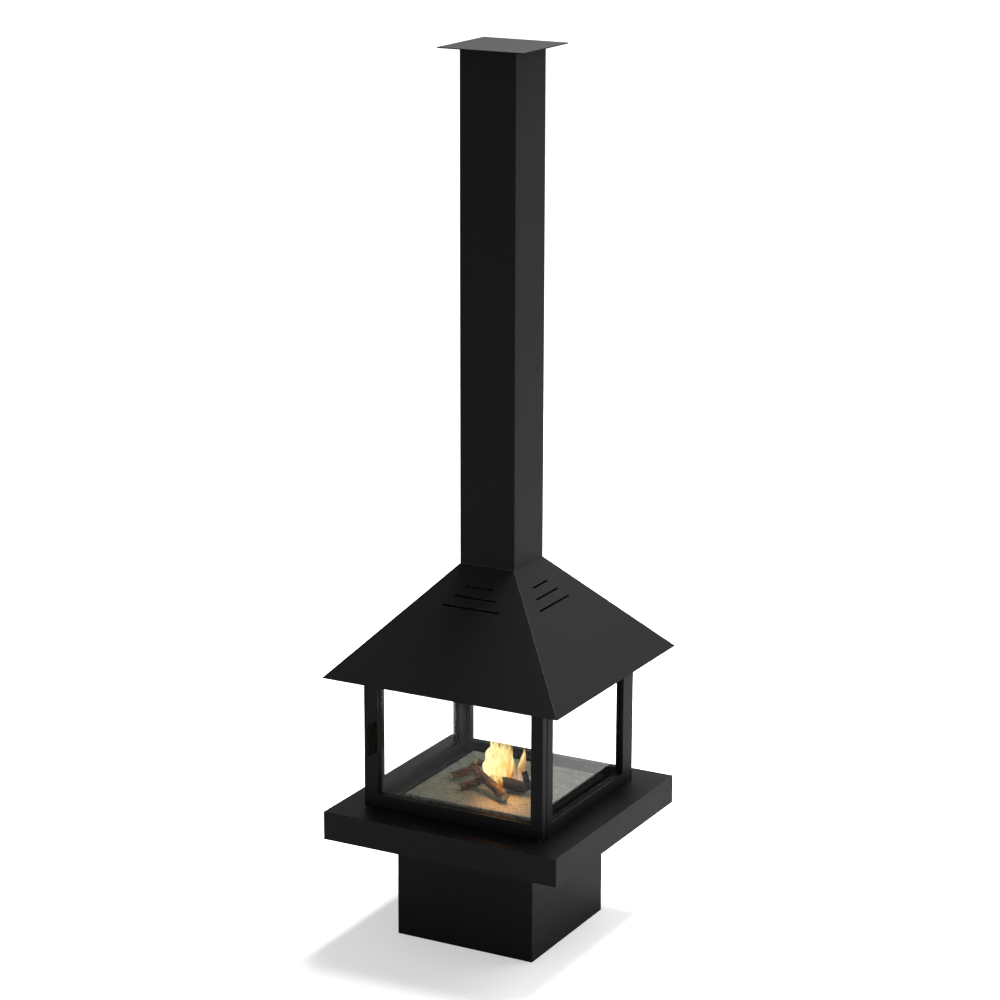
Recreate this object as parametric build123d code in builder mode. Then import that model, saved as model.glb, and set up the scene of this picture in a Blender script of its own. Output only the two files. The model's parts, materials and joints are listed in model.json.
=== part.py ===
from build123d import *
import math
import os

os.makedirs("parts", exist_ok=True)

# Millimetres, +Z up, +X to the right along the door, -Y out through the door.
# The origin is on the floor under the middle of the pedestal.

# Overall sizes
pedestal_width = 470.0
pedestal_height = 338.0
hearth_width = 800.0
hearth_height = 90.0
firebox_width = 606.0
firebox_height = 429.0
hood_height = 326.0
chimney_width = 186.0
chimney_length = 1553.0
cap_width = 283.0

# Clearances
sheet_clearance = 0.3
seat_clearance = 0.3
bolt_clearance = 0.3
thread_clearance = 0.05
running_clearance = 0.05
fold_radius = 2.0

# Hexagon heads and nuts, as shares of the thread: half the width across flats, and heights
hexagon_share = 0.8
nut_height_share = 0.8
head_height_share = 0.65

# Base frame inside the pedestal
pedestal_wall = 2.0
base_plate_thickness = 5.0
top_plate_thickness = 5.0
anchor_hole = 12.0
anchor_inset = 102.7
column_width = 40.0
column_wall = 2.5
column_inset = 12.0
cleat_leg = 30.0
cleat_thickness = 3.0
cleat_length = 200.0

# Hearth slab
hearth_wall = 3.0
hearth_edge_radius = 1.5
underside_thickness = 2.0
rib_width = 40.0
rib_wall = 2.0
rib_offset = 180.0
hearth_bolt = 10.0
hearth_bolt_offset = 120.0
hearth_bolt_end = 3.0

# Firebox floor
tray_width = 482.0
tray_height = 24.5
tray_wall = 2.0
tray_edge_radius = 1.0
floor_width = 432.0
floor_thickness = 7.5
floor_edge_chamfer = 1.0

# Burner with its sliding shutter
mouth_length = 110.0
mouth_width = 50.0
mouth_y = -12.0
shutter_lap = 4.0
shutter_rear_lap = 14.0
shutter_thickness = 1.5
shutter_side_gap = 0.5
shutter_end_gap = 1.0
pull_radius = 3.0
pull_height = 12.0
pull_cap_radius = 5.0
pull_cap_height = 3.0
pull_cap_radius_top = 1.0
pull_inset = 7.0
pull_slot_gap = 0.5
tank_height = 64.0
tank_wall = 1.5
rim_thickness = 2.0
rim_overhang = 6.0
runner_size = 6.0
wick_height = 30.0
wick_gap = 0.4

# Glazed frames
frame_depth = 25.0
frame_lip = 12.0
frame_rebate = 12.0
frame_edge_radius = 1.5
tube_wall = 2.0
side_frame_setback = 31.0
side_stile = 36.0
fixed_stile = 40.0
fixed_sill = 40.0
fixed_head = 39.0
glass_thickness = 4.0
glass_edge_gap = 1.5
seal_thickness = 1.0
seal_recess = 1.0
bead_screw = 3.0
bead_screw_length = 15.0
bead_screw_head = 5.5
bead_screw_head_height = 2.0

# Door
door_bottom_gap = 3.0
door_top_gap = 4.0
door_stile = 40.0
door_lap = 8.0
door_sill = 45.0
door_head = 35.0
door_seal_width = 10.0
door_seal_inset = 1.5
hinge_pin = 8.0
pin_hole_gap = 0.5
pin_end_gap = 3.0
pin_tail = 2.0
collar_radius = 7.0
bush_height = 20.0
handle_thickness = 7.0
handle_reach = 50.0
handle_length = 95.0
handle_middle = 660.5
handle_edge_radius = 1.5
handle_screw = 4.0
handle_screw_bite = 14.0
handle_screw_head = 7.0
handle_screw_head_height = 2.6
handle_screw_spacing = 60.0
magnet_radius = 5.5
magnet_spacing = 300.0
strike_thickness = 2.0

# Bolts that hold the fixed frames between the hearth and the ceiling plate
frame_bolt = 8.0
frame_bolt_end = 2.0
frame_bolt_inset = 140.0

# Hood
hood_wall = 2.0
hood_edge_radius = 1.2
ceiling_thickness = 3.0
ceiling_opening = 400.0
ceiling_flange_height = 20.0
ceiling_flange_wall = 2.0
slot_width = 6.0
slot_pitch = 36.0
slot_count = 3
first_slot = 304.0
slot_margin = 96.0
side_slot_shift = 20.0
bracket_width = 60.0
bracket_leg = 40.0
bracket_base = 34.0
bracket_thickness = 3.0
bracket_screw = 6.0
bracket_screw_inset = 22.0
bracket_screw_spacing = 30.0
bracket_screw_head = 9.6
bracket_screw_head_height = 3.6

# Chimney and cap
chimney_wall = 2.0
joint_gap = 3.0
joint_recess = 0.8
collar_wall = 2.0
collar_below = 40.0
collar_above = 50.0
cap_thickness = 3.0
spigot_length = 40.0

# Levels
hearth_base = pedestal_height
hearth_top = hearth_base + hearth_height
eave_level = hearth_top + firebox_height
hood_top = eave_level + hood_height
chimney_base = hood_top + joint_gap
chimney_top = chimney_base + chimney_length
tray_top = hearth_top + tray_height
floor_top = tray_top + floor_thickness
ceiling_top = eave_level + ceiling_thickness
door_low = hearth_top + door_bottom_gap
door_high = eave_level - door_top_gap

# Hood slope
hood_run = (hearth_width - chimney_width) / 2
hood_angle = math.degrees(math.atan2(hood_height, hood_run))
slope_sin = math.sin(math.radians(hood_angle))
slope_cos = math.cos(math.radians(hood_angle))
hood_wall_across = hood_wall / slope_sin
slot_cut_depth = 3 * hood_wall


def side_plane(turn, distance=0.0, height=0.0):
    # A plane on one side of the object: 0 front, 90 right, 180 rear, 270 left
    angle = math.radians(turn)
    outward = Vector(math.sin(angle), -math.cos(angle), 0)
    along = Vector(math.cos(angle), math.sin(angle), 0)
    return Plane(origin=outward * distance + Vector(0, 0, height), x_dir=along, z_dir=outward)


def upright(x, y, z, down=False):
    # A level plane at a point, facing up or down
    return Plane(origin=(x, y, z), x_dir=(1, 0, 0), z_dir=(0, 0, -1 if down else 1))


def square_ring(outside, inside):
    Rectangle(outside, outside)
    Rectangle(inside, inside, mode=Mode.SUBTRACT)


def drill(holes):
    # Each hole is a plane at its mouth, a radius and a depth
    for mouth, radius, depth in holes:
        with BuildSketch(mouth) as hole:
            Circle(radius)
        extrude(hole.sketch, amount=-depth, mode=Mode.SUBTRACT)


def hex_bolts(heads, size, shank, head_height):
    # Hexagon bolts, each head standing on its plane and the shank going down from it
    for head in heads:
        with BuildSketch(head) as hexagon:
            RegularPolygon(size * hexagon_share, 6, major_radius=False)
        extrude(hexagon.sketch, amount=head_height)
        with BuildSketch(head) as rod:
            Circle(size / 2)
        extrude(rod.sketch, amount=-shank)


def hex_nuts(seats, size, height):
    # Hexagon nuts standing on their planes
    for seat in seats:
        with BuildSketch(seat) as hexagon:
            RegularPolygon(size * hexagon_share, 6, major_radius=False)
            Circle(size / 2 + thread_clearance, mode=Mode.SUBTRACT)
        extrude(hexagon.sketch, amount=height)


def screws(heads, size, length, head_size, head_height):
    # Cheese-head screws with the top of the head on the plane
    for head in heads:
        with BuildSketch(head) as disc:
            Circle(head_size / 2)
        extrude(disc.sketch, amount=-head_height)
        with BuildSketch(head) as rod:
            Circle(size / 2)
        extrude(rod.sketch, amount=-length)


def screw_holes(heads, size, length, head_size, head_height):
    holes = [(head, head_size / 2 + thread_clearance, head_height) for head in heads]
    return holes + [(head, size / 2 + thread_clearance, length) for head in heads]


def save(name, shape):
    shape.label = name
    export_step(shape, f"parts/{name}.step")


def save_group(name, solids):
    # Separate solids that share one node, such as the bars of a frame
    export_step(Compound(label=name, children=solids), f"parts/{name}.step")


# Base frame
base_plate_width = pedestal_width - 2 * (pedestal_wall + sheet_clearance)
anchor_spacing = base_plate_width - 2 * anchor_inset
column_centre = base_plate_width / 2 - column_inset - column_width / 2
column_top = pedestal_height - top_plate_thickness

with BuildPart() as base_plate:
    with BuildSketch():
        Rectangle(base_plate_width, base_plate_width)
        with GridLocations(anchor_spacing, anchor_spacing, 2, 2):
            Circle(anchor_hole / 2, mode=Mode.SUBTRACT)
    extrude(amount=base_plate_thickness)
save("base_plate", base_plate.part)

with BuildPart() as support_columns:
    with BuildSketch(Plane.XY.offset(base_plate_thickness)):
        with GridLocations(2 * column_centre, 2 * column_centre, 2, 2):
            square_ring(column_width, column_width - 2 * column_wall)
    extrude(amount=column_top - base_plate_thickness)
save("support_columns", support_columns.part)

with BuildPart() as shell_cleats:
    for turn in (0, 90, 180, 270):
        face = side_plane(turn, pedestal_width / 2 - pedestal_wall)
        with BuildSketch(face.offset(-cleat_leg)):
            with Locations((0, base_plate_thickness)):
                Rectangle(cleat_length, cleat_thickness, align=(Align.CENTER, Align.MIN))
        extrude(amount=cleat_leg)
        with BuildSketch(face.offset(-cleat_thickness)):
            with Locations((0, base_plate_thickness)):
                Rectangle(cleat_length, cleat_leg, align=(Align.CENTER, Align.MIN))
        extrude(amount=cleat_thickness)
save("shell_cleats", shell_cleats.part)

with BuildPart() as pedestal_shell:
    with BuildSketch():
        RectangleRounded(pedestal_width, pedestal_width, fold_radius)
        bore = pedestal_width - 2 * pedestal_wall
        Rectangle(bore, bore, mode=Mode.SUBTRACT)
    extrude(amount=pedestal_height)
save("pedestal_shell", pedestal_shell.part)

# Hearth, bolted through the top plate into its ribs
rib_base = hearth_base + underside_thickness
rib_height = hearth_height - underside_thickness - hearth_wall
rib_length = hearth_width - 2 * (hearth_wall + sheet_clearance)
hearth_nut_height = hearth_bolt * nut_height_share
hearth_head_height = hearth_bolt * head_height_share
hearth_bolt_points = [
    (side * hearth_bolt_offset, row * rib_offset) for side in (-1, 1) for row in (-1, 1)
]
hearth_bolt_holes = [
    (upright(x, y, rib_base + rib_wall), (hearth_bolt + bolt_clearance) / 2,
     rib_wall + underside_thickness + top_plate_thickness)
    for x, y in hearth_bolt_points
]

with BuildPart() as pedestal_top_plate:
    with BuildSketch(Plane.XY.offset(column_top)):
        Rectangle(base_plate_width, base_plate_width)
    extrude(amount=top_plate_thickness)
    drill(hearth_bolt_holes)
save("pedestal_top_plate", pedestal_top_plate.part)

with BuildPart() as hearth_underside:
    with BuildSketch(Plane.XY.offset(hearth_base)):
        Rectangle(rib_length, rib_length)
    extrude(amount=underside_thickness)
    drill(hearth_bolt_holes)
save("hearth_underside", hearth_underside.part)

long_ribs = []
for row in (-1, 1):
    with BuildPart() as long_rib:
        with BuildSketch(side_plane(90, -rib_length / 2)):
            with Locations((row * rib_offset, rib_base + rib_height / 2)):
                Rectangle(rib_width, rib_height)
                Rectangle(rib_width - 2 * rib_wall, rib_height - 2 * rib_wall, mode=Mode.SUBTRACT)
        extrude(amount=rib_length)
        drill(hearth_bolt_holes)
    long_ribs.append(long_rib.part)

cross_rib_length = 2 * rib_offset - rib_width
with BuildPart() as cross_ribs:
    with BuildSketch(side_plane(0, -cross_rib_length / 2)):
        with Locations((-rib_offset, rib_base + rib_height / 2), (rib_offset, rib_base + rib_height / 2)):
            Rectangle(rib_width, rib_height)
            Rectangle(rib_width - 2 * rib_wall, rib_height - 2 * rib_wall, mode=Mode.SUBTRACT)
    extrude(amount=cross_rib_length)
save_group("hearth_ribs", long_ribs + cross_ribs.part.solids())

with BuildPart() as hearth_bolts:
    hex_bolts(
        [upright(x, y, column_top, down=True) for x, y in hearth_bolt_points], hearth_bolt,
        top_plate_thickness + underside_thickness + rib_wall + hearth_nut_height + hearth_bolt_end,
        hearth_head_height)
save("hearth_bolts", hearth_bolts.part)

with BuildPart() as hearth_nuts:
    hex_nuts([upright(x, y, rib_base + rib_wall) for x, y in hearth_bolt_points],
             hearth_bolt, hearth_nut_height)
save("hearth_nuts", hearth_nuts.part)

# Burner sizes. The shutter is parked behind the mouth and slides forward over it.
shutter_travel = mouth_width + shutter_lap + shutter_end_gap
mouth_front = mouth_y - mouth_width / 2
mouth_rear = mouth_y + mouth_width / 2
shutter_length = mouth_length + 2 * shutter_lap
shutter_front = mouth_front - shutter_lap + shutter_travel
shutter_rear = mouth_rear + shutter_rear_lap + shutter_travel
shutter_depth = shutter_rear - shutter_front
tank_length = shutter_length + 2 * (shutter_side_gap + tank_wall)
tank_front = mouth_front - shutter_lap - shutter_end_gap - tank_wall
tank_rear = shutter_rear + shutter_end_gap + tank_wall
tank_depth = tank_rear - tank_front
tank_y = (tank_front + tank_rear) / 2
tank_base = floor_top - tank_height
rim_length = tank_length + 2 * rim_overhang
rim_depth = tank_depth + 2 * rim_overhang
rim_top = floor_top + rim_thickness
shutter_top = floor_top - seat_clearance
runner_top = shutter_top - shutter_thickness - seat_clearance
pull_y = shutter_rear - pull_inset
burner_cutout_length = tank_length + 2 * sheet_clearance
burner_cutout_depth = tank_depth + 2 * sheet_clearance

# Frame and hinge places
firebox_half = firebox_width / 2
side_frame_width = firebox_width - 2 * side_frame_setback
bolt_inset = frame_depth / 2
pivot = firebox_half - frame_depth / 2
door_groove = side_frame_setback - frame_depth
frame_nut_height = frame_bolt * nut_height_share
frame_head_height = frame_bolt * head_height_share
frame_bolt_points = [
    side_plane(turn, firebox_half - bolt_inset).from_local_coords((side * spread, 0, 0))
    for turn, spread in ((90, side_frame_width / 2 - frame_bolt_inset),
                         (270, side_frame_width / 2 - frame_bolt_inset),
                         (180, firebox_half - frame_bolt_inset))
    for side in (-1, 1)
]

bolt_radius = (frame_bolt + bolt_clearance) / 2
frame_bolt_holes = [
    (upright(p.X, p.Y, hearth_top + tube_wall), bolt_radius, hearth_wall + tube_wall)
    for p in frame_bolt_points
] + [
    (upright(p.X, p.Y, ceiling_top), bolt_radius, ceiling_thickness + tube_wall)
    for p in frame_bolt_points
]
pin_radius = hinge_pin / 2
pin_plate_holes = [
    (upright(pivot, -pivot, hearth_top), pin_radius + thread_clearance, hearth_wall),
    (upright(pivot, -pivot, ceiling_top), pin_radius + thread_clearance, ceiling_thickness),
]

with BuildPart() as hearth_shell:
    with BuildSketch(Plane.XY.offset(hearth_base)):
        RectangleRounded(hearth_width, hearth_width, fold_radius)
    extrude(amount=hearth_height)
    top_edges = hearth_shell.faces().sort_by(Axis.Z)[-1].edges()
    fillet(top_edges, radius=hearth_edge_radius)
    with BuildSketch(Plane.XY.offset(hearth_base)):
        Rectangle(hearth_width - 2 * hearth_wall, hearth_width - 2 * hearth_wall)
    extrude(amount=hearth_height - hearth_wall, mode=Mode.SUBTRACT)
    with BuildSketch(Plane.XY.offset(hearth_top)):
        with Locations((0, tank_y)):
            Rectangle(burner_cutout_length, burner_cutout_depth)
    extrude(amount=-hearth_wall, mode=Mode.SUBTRACT)
    drill(frame_bolt_holes + pin_plate_holes)
save("hearth_shell", hearth_shell.part)

# Firebox floor
with BuildPart() as floor_tray:
    with BuildSketch(Plane.XY.offset(hearth_top)):
        Rectangle(tray_width, tray_width)
    extrude(amount=tray_height)
    fillet(floor_tray.faces().sort_by(Axis.Z)[-1].edges(), radius=tray_edge_radius)
    with BuildSketch(Plane.XY.offset(hearth_top)):
        Rectangle(tray_width - 2 * tray_wall, tray_width - 2 * tray_wall)
    extrude(amount=tray_height - tray_wall, mode=Mode.SUBTRACT)
    with BuildSketch(Plane.XY.offset(tray_top)):
        with Locations((0, tank_y)):
            Rectangle(burner_cutout_length, burner_cutout_depth)
    extrude(amount=-tray_wall, mode=Mode.SUBTRACT)
save("floor_tray", floor_tray.part)

with BuildPart() as floor_panel:
    with BuildSketch(Plane.XY.offset(tray_top)):
        Rectangle(floor_width, floor_width)
    extrude(amount=floor_thickness)
    chamfer(floor_panel.faces().sort_by(Axis.Z)[-1].edges(), length=floor_edge_chamfer)
    with BuildSketch(Plane.XY.offset(tray_top)):
        with Locations((0, tank_y)):
            Rectangle(burner_cutout_length, burner_cutout_depth)
    extrude(amount=floor_thickness, mode=Mode.SUBTRACT)
save("floor_panel", floor_panel.part)

# Burner
with BuildPart() as burner_rim:
    with BuildSketch(Plane.XY.offset(floor_top)):
        with Locations((0, tank_y)):
            RectangleRounded(rim_length, rim_depth, fold_radius)
        with Locations((0, mouth_y)):
            Rectangle(mouth_length, mouth_width, mode=Mode.SUBTRACT)
        with Locations((0, pull_y - shutter_travel / 2)):
            slot_wide = 2 * (pull_radius + pull_slot_gap)
            SlotOverall(shutter_travel + slot_wide, slot_wide, rotation=90, mode=Mode.SUBTRACT)
    extrude(amount=rim_thickness)
save("burner_rim", burner_rim.part)

with BuildPart() as burner_tank:
    with BuildSketch(Plane.XY.offset(tank_base)):
        with Locations((0, tank_y)):
            Rectangle(tank_length, tank_depth)
    extrude(amount=tank_height)
    with BuildSketch(Plane.XY.offset(tank_base + tank_wall)):
        with Locations((0, tank_y)):
            Rectangle(tank_length - 2 * tank_wall, tank_depth - 2 * tank_wall)
    extrude(amount=tank_height - tank_wall, mode=Mode.SUBTRACT)
save("burner_tank", burner_tank.part)

with BuildPart() as burner_wick:
    with BuildSketch(Plane.XY.offset(tank_base + tank_wall)):
        with Locations((0, tank_y)):
            Rectangle(tank_length - 2 * (tank_wall + wick_gap), tank_depth - 2 * (tank_wall + wick_gap))
    extrude(amount=wick_height)
save("burner_wick", burner_wick.part)

with BuildPart() as shutter_runners:
    runner_x = tank_length / 2 - tank_wall - runner_size / 2
    with BuildSketch(Plane.XY.offset(runner_top)):
        with Locations((-runner_x, tank_y), (runner_x, tank_y)):
            Rectangle(runner_size, tank_depth - 2 * tank_wall)
    extrude(amount=-runner_size)
save("shutter_runners", shutter_runners.part)

with BuildPart() as burner_shutter:
    with BuildSketch(Plane.XY.offset(shutter_top)):
        with Locations((0, (shutter_front + shutter_rear) / 2)):
            Rectangle(shutter_length, shutter_depth)
    extrude(amount=-shutter_thickness)
    with BuildSketch(Plane.XY.offset(shutter_top)):
        with Locations((0, pull_y)):
            Circle(pull_radius)
    extrude(amount=pull_height)
    with BuildSketch(Plane.XY.offset(shutter_top + pull_height)):
        with Locations((0, pull_y)):
            Circle(pull_cap_radius)
    extrude(amount=pull_cap_height)
    fillet(burner_shutter.faces().sort_by(Axis.Z)[-1].edges(), radius=pull_cap_radius_top)
save("burner_shutter", burner_shutter.part)


class Window:
    # One glazed frame: its side, outside size, bar widths and how far it is moved along its side
    def __init__(self, turn, width, low, high, stiles, sill, head, shift=0.0):
        side = side_plane(turn, firebox_half)
        self.face = Plane(origin=side.origin + side.x_dir * shift, x_dir=side.x_dir, z_dir=side.z_dir)
        self.width = width
        self.low = low
        self.high = high
        self.left_stile, self.right_stile = stiles
        self.sill = sill
        self.head = head

    def outline(self, inset=0.0):
        # Corners of the outside, counter-clockwise from the lower left
        x = self.width / 2 - inset
        low = self.low + inset
        high = self.high - inset
        return [(-x, low), (x, low), (x, high), (-x, high)]

    def opening(self, grow=0.0):
        # Corners of the glazed opening, in the same order
        left = -self.width / 2 + self.left_stile - grow
        right = self.width / 2 - self.right_stile + grow
        low = self.low + self.sill - grow
        high = self.high - self.head + grow
        return [(left, low), (right, low), (right, high), (left, high)]

    def bead_screw_planes(self):
        # Heads on the inner faces of the beads, looking into the opening
        (left, low), _, (right, high), _ = self.opening()
        depth = -(frame_depth - bead_depth / 2)
        quarter_up = (high - low) / 4
        quarter_along = (right - left) / 4
        places = [((x, (low + high) / 2 + row * quarter_up), (facing, 0))
                  for x, facing in ((left, 1), (right, -1)) for row in (-1, 1)]
        places += [(((left + right) / 2 + side * quarter_along, level), (0, up))
                   for side in (-1, 1) for level, up in ((low, 1), (high, -1))]
        planes = []
        for (px, py), (nx, ny) in places:
            normal = self.face.x_dir * nx + self.face.y_dir * ny
            origin = self.face.from_local_coords((px, py, depth))
            planes.append(Plane(origin=origin, x_dir=self.face.z_dir, z_dir=normal))
        return planes


bead_depth = frame_depth - frame_lip - glass_thickness - 2 * seal_thickness
glass_depth = frame_lip + seal_thickness


def section_plane(window, outer, first):
    # The plane of a bar's section at its first corner, x inward, y outward, and the bar's length
    start = window.face.from_local_coords((*outer[first], 0))
    end = window.face.from_local_coords((*outer[(first + 1) % 4], 0))
    along = end - start
    return Plane(origin=start, x_dir=window.face.z_dir.cross(along), z_dir=along), along.length


def mitre_planes(window, outer, inner, first):
    # The mitres at both ends of a bar, facing into the bar
    planes = []
    for corner, hand in ((first, 1), ((first + 1) % 4, -1)):
        across = inner[corner][0] - outer[corner][0]
        rise = inner[corner][1] - outer[corner][1]
        facing = window.face.x_dir * (hand * rise) - window.face.y_dir * (hand * across)
        origin = window.face.from_local_coords((*outer[corner], 0))
        planes.append(Plane(origin=origin, x_dir=window.face.z_dir, z_dir=facing))
    return planes


def bead_screw_holes(window):
    return screw_holes(window.bead_screw_planes(), bead_screw, bead_screw_length,
                       bead_screw_head, bead_screw_head_height)


def frame_bars(window, holes):
    # Four square-tube bars, mitred, with a lip in front of the glass
    outer = window.outline()
    inner = window.opening()
    bars = []
    for first, width in enumerate((window.sill, window.right_stile, window.head, window.left_stile)):
        section, length = section_plane(window, outer, first)
        web = width - frame_rebate
        with BuildPart() as bar:
            with BuildSketch(section) as profile:
                Polygon((0, 0), (width, 0), (width, -frame_lip), (web, -frame_lip),
                        (web, -frame_depth), (0, -frame_depth))
                fillet(profile.vertices().group_by(Axis.Y)[-1], radius=frame_edge_radius)
                with Locations((web / 2, -frame_depth / 2)):
                    Rectangle(web - 2 * tube_wall, frame_depth - 2 * tube_wall, mode=Mode.SUBTRACT)
            extrude(amount=length)
            for mitre in mitre_planes(window, outer, inner, first):
                split(bisect_by=mitre, keep=Keep.TOP)
            drill(holes + bead_screw_holes(window))
        bars.append(bar.part)
    return bars


def glazing_beads(window):
    # Four square beads, mitred, that hold the glass in the rebate
    outer = window.opening(frame_rebate)
    inner = window.opening()
    beads = []
    for first in range(4):
        section, length = section_plane(window, outer, first)
        with BuildPart() as bead:
            with BuildSketch(section):
                with Locations((frame_rebate / 2, bead_depth / 2 - frame_depth)):
                    Rectangle(frame_rebate, bead_depth)
            extrude(amount=length)
            for mitre in mitre_planes(window, outer, inner, first):
                split(bisect_by=mitre, keep=Keep.TOP)
            drill(bead_screw_holes(window))
        beads.append(bead.part)
    return beads


def glass_pane(window):
    with BuildPart() as pane:
        with BuildSketch(window.face.offset(-glass_depth)):
            Polygon(*window.opening(frame_rebate - glass_edge_gap))
        extrude(amount=-glass_thickness)
    return pane.part


def glass_seals(window):
    # A flat seal on each side of the glass
    with BuildPart() as seals:
        for depth in (frame_lip, glass_depth + glass_thickness):
            with BuildSketch(window.face.offset(-depth)):
                Polygon(*window.opening(frame_rebate - glass_edge_gap))
                Polygon(*window.opening(seal_recess), mode=Mode.SUBTRACT)
            extrude(amount=-seal_thickness)
    return seals.part


side_stiles = (side_stile, side_stile)
rear_stiles = (fixed_stile, fixed_stile)
left_window = Window(270, side_frame_width, hearth_top, eave_level, side_stiles, fixed_sill, fixed_head)
right_window = Window(90, side_frame_width, hearth_top, eave_level, side_stiles, fixed_sill, fixed_head)
rear_window = Window(180, firebox_width, hearth_top, eave_level, rear_stiles, fixed_sill, fixed_head)

# The door laps past the left frame on its handle side
door_window = Window(0, firebox_width + door_lap, door_low, door_high,
                     (door_stile + door_lap, door_stile), door_sill, door_head, -door_lap / 2)
fixed_windows = {"left": left_window, "right": right_window, "rear": rear_window}

# Fixed frames and their glass
for side, window in fixed_windows.items():
    save_group(f"{side}_frame", frame_bars(window, frame_bolt_holes))
    save(f"{side}_glass", glass_pane(window))

fixed_bead_bars = [bar for window in fixed_windows.values() for bar in glazing_beads(window)]
save_group("fixed_beads", fixed_bead_bars)
fixed_seal_rings = [ring for window in fixed_windows.values() for ring in glass_seals(window).solids()]
save_group("fixed_glass_seals", fixed_seal_rings)

with BuildPart() as fixed_bead_screws:
    for window in fixed_windows.values():
        screws(window.bead_screw_planes(), bead_screw, bead_screw_length,
               bead_screw_head, bead_screw_head_height)
save("fixed_bead_screws", fixed_bead_screws.part)

with BuildPart() as rear_joint_seals:
    with BuildSketch(Plane.XY.offset(hearth_top)):
        seal_y = firebox_half - frame_depth - door_groove / 2
        with Locations((-pivot, seal_y), (pivot, seal_y)):
            Rectangle(frame_depth, door_groove)
    extrude(amount=firebox_height)
save("rear_joint_seals", rear_joint_seals.part)

with BuildPart() as frame_bolts:
    shank = hearth_wall + tube_wall + frame_nut_height + frame_bolt_end
    hex_bolts([upright(p.X, p.Y, hearth_top - hearth_wall, down=True) for p in frame_bolt_points],
              frame_bolt, shank, frame_head_height)
    hex_bolts([upright(p.X, p.Y, ceiling_top) for p in frame_bolt_points],
              frame_bolt, shank, frame_head_height)
save("frame_bolts", frame_bolts.part)

with BuildPart() as frame_nuts:
    hex_nuts([upright(p.X, p.Y, hearth_top + tube_wall) for p in frame_bolt_points],
             frame_bolt, frame_nut_height)
    hex_nuts([upright(p.X, p.Y, eave_level - tube_wall, down=True) for p in frame_bolt_points],
             frame_bolt, frame_nut_height)
    hex_nuts([upright(pivot, -pivot, hearth_top - hearth_wall, down=True),
              upright(pivot, -pivot, ceiling_top)], hinge_pin, frame_nut_height)
save("frame_nuts", frame_nuts.part)

# Door
handle_x = -(firebox_half - door_stile + frame_rebate / 2)
handle_screw_points = [
    (handle_x, -(firebox_half - frame_lip), handle_middle + side * handle_screw_spacing / 2)
    for side in (-1, 1)
]
handle_screw_planes = [
    Plane(origin=point, x_dir=(1, 0, 0), z_dir=(0, 1, 0)) for point in handle_screw_points
]
handle_screw_length = frame_lip + handle_screw_bite
door_pin_holes = [
    (upright(pivot, -pivot, door_low + tube_wall), pin_radius + pin_hole_gap, tube_wall),
    (upright(pivot, -pivot, door_high), pin_radius + pin_hole_gap, tube_wall),
]
handle_screw_holes = screw_holes(handle_screw_planes, handle_screw, handle_screw_length,
                                 handle_screw_head, handle_screw_head_height)

save_group("door_frame", frame_bars(door_window, door_pin_holes + handle_screw_holes))
save("door_glass", glass_pane(door_window))
save("door_glass_seals", glass_seals(door_window))
save_group("door_beads", glazing_beads(door_window))

with BuildPart() as door_bead_screws:
    screws(door_window.bead_screw_planes(), bead_screw, bead_screw_length,
           bead_screw_head, bead_screw_head_height)
save("door_bead_screws", door_bead_screws.part)

with BuildPart() as door_seals:
    seal_x = pivot - door_seal_width / 2 - door_seal_inset
    seal_y = -(firebox_half - frame_depth)
    seal_depth = door_groove - seat_clearance
    with BuildSketch(Plane.XY.offset(door_low)):
        with Locations((-seal_x, seal_y), (seal_x, seal_y)):
            Rectangle(door_seal_width, seal_depth, align=(Align.CENTER, Align.MIN))
    extrude(amount=door_high - door_low)
save("door_seals", door_seals.part)

with BuildPart() as door_bushes:
    bush_width = frame_depth - 2 * tube_wall
    for seat in (upright(pivot, -pivot, door_low + tube_wall),
                 upright(pivot, -pivot, door_high - tube_wall, down=True)):
        with BuildSketch(seat):
            Rectangle(bush_width, bush_width)
            Circle(pin_radius + running_clearance, mode=Mode.SUBTRACT)
        extrude(amount=bush_height)
save("door_bushes", door_bushes.part)

with BuildPart() as hinge_pins:
    pin_reach = tube_wall + bush_height - pin_end_gap
    pin_ends = (
        (upright(pivot, -pivot, hearth_top), door_bottom_gap, hearth_wall),
        (upright(pivot, -pivot, eave_level, down=True), door_top_gap, ceiling_thickness),
    )
    for seat, gap, plate in pin_ends:
        with BuildSketch(seat):
            Circle(collar_radius)
        extrude(amount=gap - seat_clearance)
        with BuildSketch(seat.offset(-(plate + frame_nut_height + pin_tail))):
            Circle(pin_radius)
        extrude(amount=plate + frame_nut_height + pin_tail + gap + pin_reach)
save("hinge_pins", hinge_pins.part)

with BuildPart() as door_handle:
    handle_root = (handle_x, -firebox_half, handle_middle)
    with BuildSketch(Plane(origin=handle_root, x_dir=(0, -1, 0), z_dir=(1, 0, 0))):
        with Locations((handle_reach / 2, 0)):
            Rectangle(handle_reach, handle_length)
    extrude(amount=handle_thickness / 2, both=True)
    outer_edges = door_handle.faces().sort_by(Axis.Y)[0].edges()
    fillet(outer_edges, radius=handle_edge_radius)
    drill(handle_screw_holes)
save("door_handle", door_handle.part)

with BuildPart() as handle_screws:
    screws(handle_screw_planes, handle_screw, handle_screw_length - thread_clearance,
           handle_screw_head, handle_screw_head_height)
save("handle_screws", handle_screws.part)

# Magnets on the left frame and strikes on the door that meet them
magnet_levels = [
    (door_low + door_high) / 2 + side * magnet_spacing / 2 for side in (-1, 1)
]
magnet_x = -(firebox_half - tube_wall / 2 - magnet_radius)
magnet_thickness = door_groove - strike_thickness - seat_clearance
with BuildPart() as catch_magnets:
    with BuildSketch(side_plane(0, side_frame_width / 2)):
        with Locations(*[(magnet_x, level) for level in magnet_levels]):
            Circle(magnet_radius)
    extrude(amount=magnet_thickness)
save("catch_magnets", catch_magnets.part)

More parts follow.
